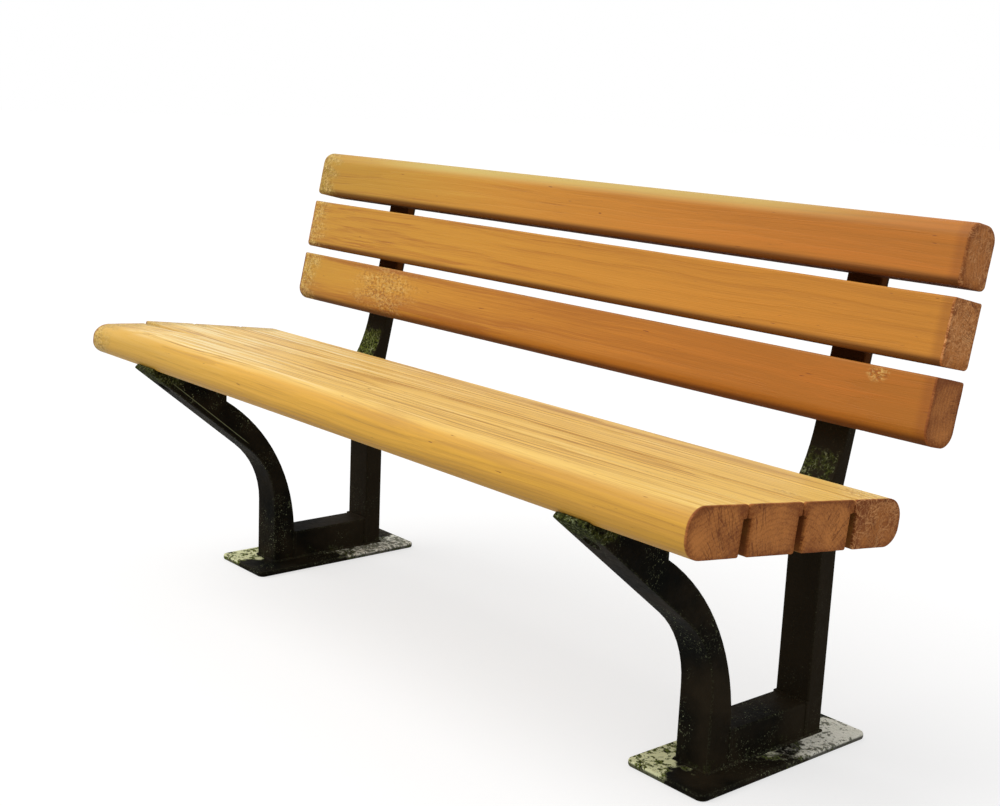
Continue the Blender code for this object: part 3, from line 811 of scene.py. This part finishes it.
class BENCH_OT_back_slats(bpy.types.Operator):
    """Builds the back's slats, redder towards the right end and with painted shadow underneath"""

    bl_idname = "bench.back_slats"
    bl_label = "Back Slats"

    def execute(self, context):
        settings = context.scene.bench_timber
        for index, node in enumerate(SLATS):
            first = index == 0
            last = index == len(SLATS) - 1
            rounding = {-1: settings.slat_nose if first else settings.slat_lower}
            if last:
                rounding[1] = settings.slat_nose
            look = TimberLook(
                settings.back_pale, settings.back_gold, settings.back_dark, settings.back_warm,
                settings.under, streak=0.9, ring=0.08, pallor=0.0, bleach=0.0,
                crown_highlight=0.9 if last else 0.0, low_shadow=0.9, high_shadow=0.0, edge=0.35,
                scuffs=SCUFFS.get(node, ()), **SLAT_LOOKS[node])
            board = board_of(node, BACK_OUT)
            seed = BACK_SEED + SEED_STEP * index
            finish = timber_finish("timber_" + node, board, look, settings, PITHS[node], seed)
            blank = timber_blank(board, rounding, settings.slat_end, settings, lipped=False)
            add_timber(node, board, blank, settings, finish, BACK_SLOT, BACK_WEAR_SEED + index)
        return {"FINISHED"}


def solid_copy(node):
    """Merged copy of a CAD node's triangles, with its flat faces made whole again."""
    mesh = bmesh.new()
    mesh.from_mesh(frame["nodes"][node].data)
    bmesh.ops.remove_doubles(mesh, verts=mesh.verts, dist=MERGE_DISTANCE)
    bmesh.ops.dissolve_limit(mesh, angle_limit=FLAT_ANGLE, verts=mesh.verts, edges=mesh.edges)
    return mesh


class BENCH_OT_end_frames(bpy.types.Operator):
    """Builds the black bars of the two end frames"""

    bl_idname = "bench.end_frames"
    bl_label = "End Frames"

    def execute(self, context):
        finish = frame_paint(context.scene.bench_metal)
        for side in SIDES:
            for bar in BARS:
                node = bar + "_" + side
                mesh = solid_copy(node)
                mark_arrises(mesh, ALONG)
                add_piece("painted_" + node, mesh, finish, PAINT_SLOT, node)
        return {"FINISHED"}


def add_bead(name, low, high, radius, finish, node):
    """A weld that runs round a box: rounded, with ripples along it."""
    size = high - low
    place = Matrix.Translation((low + high) / 2) @ Matrix.Diagonal((*size, 1))
    mesh = bmesh.new()
    bmesh.ops.create_cube(mesh, size=1, matrix=place)
    bevel(mesh, mesh.edges[:], radius, ARRIS_STEPS)
    long_edges = [edge for edge in mesh.edges if edge.calc_length() > 4 * radius]
    bmesh.ops.subdivide_edges(mesh, edges=long_edges, cuts=BEAD_CUTS, use_grid_fill=True)
    mesh.normal_update()
    for vertex in mesh.verts:
        ripple = noise.noise(vertex.co / radius * RIPPLE_STRETCH)
        vertex.co -= vertex.normal * radius * RIPPLE_DEPTH * (0.5 + 0.5 * ripple)
    mark_arrises(mesh, ALONG)
    return add_piece(name, mesh, finish, PAINT_SLOT, node)


class BENCH_OT_welds(bpy.types.Operator):
    """Builds the weld beads round the end frames' feet and at both ends of their foot rails"""

    bl_idname = "bench.welds"
    bl_label = "Welds"

    def execute(self, context):
        settings = context.scene.bench_metal
        finish = frame_paint(settings)
        bead = settings.bead
        for side in SIDES:
            rail = "foot_rail_" + side
            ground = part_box("base_plate_" + side)[1].z
            bars = ("front_leg_" + side, rail, "rear_post_" + side)
            feet = [vertex.co for node in bars for vertex in frame["nodes"][node].data.vertices
                    if vertex.co.z < ground + FOOT_HEIGHT]
            low = Vector([min(axis) for axis in zip(*feet)])
            high = Vector([max(axis) for axis in zip(*feet)])
            low.z = ground - bead
            high.z = ground
            grown = Vector((bead, bead, bead))
            add_bead("weld_foot_" + side, low - grown, high + grown, bead, finish, rail)
            low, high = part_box(rail)
            for end, deep in (("front", low.y), ("rear", high.y)):
                start = Vector((low.x - bead / 2, deep - bead, ground - bead))
                stop = Vector((high.x + bead / 2, deep + bead, high.z + bead / 2))
                add_bead(f"weld_rail_{end}_{side}", start, stop, bead / 2, finish, rail)
        return {"FINISHED"}


class BENCH_OT_base_plates(bpy.types.Operator):
    """Builds the base plates with their mossy corners"""

    bl_idname = "bench.base_plates"
    bl_label = "Base Plates"

    def execute(self, context):
        for side in SIDES:
            node = "base_plate_" + side
            finish = plate_finish("mossy_" + node, node, context.scene.bench_metal, *PLATE_MOSS[side])
            mesh = solid_copy(node)
            mark_arrises(mesh, UP)
            add_piece("mossy_" + node, mesh, finish, PAINT_SLOT, node)
        return {"FINISHED"}


class BENCH_OT_fixings(bpy.types.Operator):
    """Builds the coach screws and washers that hold the timbers"""

    bl_idname = "bench.fixings"
    bl_label = "Fixings"

    def execute(self, context):
        finish = zinc_finish(context.scene.bench_metal)
        for timber in PLANKS + SLATS:
            for side in SIDES:
                for kind in ("screw", "washer"):
                    node = f"{kind}_{timber}_{side}"
                    add_piece("zinc_" + node, solid_copy(node), finish, ZINC_SLOT, node)
        return {"FINISHED"}


def background(tree):
    """Light Path factor that is 1 for rays that see the background itself."""
    path = tree.nodes.new("ShaderNodeLightPath")
    seen = Shade(tree, path.outputs["Is Camera Ray"])
    for ray in ("Is Glossy Ray", "Is Transmission Ray"):
        seen = seen.combine("MAXIMUM", seen, Shade(tree, path.outputs[ray]))
    return seen


class BENCH_OT_stage(bpy.types.Operator):
    """Sets up the pale floor, the even light, the soft lamp and the photograph's camera"""

    bl_idname = "bench.stage"
    bl_label = "Stage"

    def execute(self, context):
        settings = context.scene.bench_stage
        self.add_floor(context.scene, settings)
        self.add_light(context.scene, settings)
        self.add_camera(context.scene)
        context.scene.view_settings.view_transform = "Standard"
        return {"FINISHED"}

    def add_floor(self, scene, settings):
        """Wide floor that keeps the shadow and looks white beyond it."""
        mesh = bmesh.new()
        bmesh.ops.create_grid(mesh, x_segments=1, y_segments=1, size=FLOOR_REACH)
        data = bpy.data.meshes.new("floor")
        mesh.to_mesh(data)
        mesh.free()
        floor = bpy.data.objects.new("floor", data)
        scene.collection.objects.link(floor)
        material = bpy.data.materials.new("floor_pale")
        material.use_nodes = True
        tree = material.node_tree
        tree.nodes.clear()
        seen = background(tree)
        grey = settings.floor
        matt = seen.node("ShaderNodeBsdfDiffuse", {"Color": (grey, grey, grey, 1)})
        glow = seen.node("ShaderNodeEmission", {"Strength": seen * (1 - grey * FLOOR_LIGHT)})
        both = seen.node("ShaderNodeAddShader", {0: matt, 1: glow})
        surface = tree.nodes.new("ShaderNodeOutputMaterial")
        tree.links.new(both.socket, surface.inputs["Surface"])
        data.materials.append(material)

    def add_light(self, scene, settings):
        """Even light from all round and one soft lamp from the upper left."""
        world = bpy.data.worlds.new("studio")
        world.use_nodes = True
        tree = world.node_tree
        seen = background(tree)
        strength = seen + (1 - seen) * settings.sky
        backdrop = tree.nodes["Background"]
        backdrop.inputs["Color"].default_value = (1, 1, 1, 1)
        tree.links.new(strength.socket, backdrop.inputs["Strength"])
        scene.world = world
        lamp = bpy.data.lights.new("soft_lamp", "SUN")
        lamp.energy = settings.lamp
        lamp.angle = settings.softness
        holder = bpy.data.objects.new("soft_lamp", lamp)
        holder.rotation_euler = LAMP_AIM.to_track_quat("-Z", "Y").to_euler()
        scene.collection.objects.link(holder)

    def add_camera(self, scene):
        """Camera fitted to the photograph."""
        back = Vector((math.sin(CAMERA_HEADING) * math.cos(CAMERA_PITCH),
                       -math.cos(CAMERA_HEADING) * math.cos(CAMERA_PITCH), math.sin(CAMERA_PITCH)))
        level = Vector((math.cos(CAMERA_HEADING), math.sin(CAMERA_HEADING), 0))
        axes = Matrix((level, back.cross(level), back)).transposed()
        turn = axes @ Matrix.Rotation(CAMERA_ROLL, 3, "Z")
        lens = bpy.data.cameras.new("photo_camera")
        lens.sensor_width = SENSOR_WIDTH
        lens.lens = FOCAL_PIXELS * SENSOR_WIDTH / IMAGE_WIDTH
        camera = bpy.data.objects.new("photo_camera", lens)
        camera.matrix_world = Matrix.Translation(CAMERA_PLACE) @ turn.to_4x4()
        scene.collection.objects.link(camera)
        scene.camera = camera


OPERATORS = (BENCH_OT_seat_planks, BENCH_OT_back_slats, BENCH_OT_end_frames, BENCH_OT_welds,
             BENCH_OT_base_plates, BENCH_OT_fixings, BENCH_OT_stage)


class BENCH_PT_looks(bpy.types.Panel):
    """Lists the bench's settings and the operators that build its pieces"""

    bl_idname = "BENCH_PT_looks"
    bl_label = "Outdoor Bench"
    bl_space_type = "VIEW_3D"
    bl_region_type = "UI"
    bl_category = "Bench"

    def draw(self, context):
        for operator in OPERATORS:
            self.layout.operator(operator.bl_idname)
        for group in (context.scene.bench_timber, context.scene.bench_metal, context.scene.bench_stage):
            box = self.layout.box()
            for name in type(group).__annotations__:
                box.prop(group, name)


CLASSES = (BenchTimberSettings, BenchMetalSettings, BenchStageSettings, *OPERATORS, BENCH_PT_looks)


def register():
    """Adds the classes and the scene's settings."""
    for made in CLASSES:
        bpy.utils.register_class(made)
    bpy.types.Scene.bench_timber = PointerProperty(type=BenchTimberSettings)
    bpy.types.Scene.bench_metal = PointerProperty(type=BenchMetalSettings)
    bpy.types.Scene.bench_stage = PointerProperty(type=BenchStageSettings)


def unregister():
    """Takes the settings and the classes away again."""
    del bpy.types.Scene.bench_timber
    del bpy.types.Scene.bench_metal
    del bpy.types.Scene.bench_stage
    for made in reversed(CLASSES):
        bpy.utils.unregister_class(made)


def main():
    register()
    bpy.ops.bench.seat_planks()
    bpy.ops.bench.back_slats()
    bpy.ops.bench.end_frames()
    bpy.ops.bench.welds()
    bpy.ops.bench.base_plates()
    bpy.ops.bench.fixings()
    bpy.ops.bench.stage()


if __name__ == "__main__":
    main()
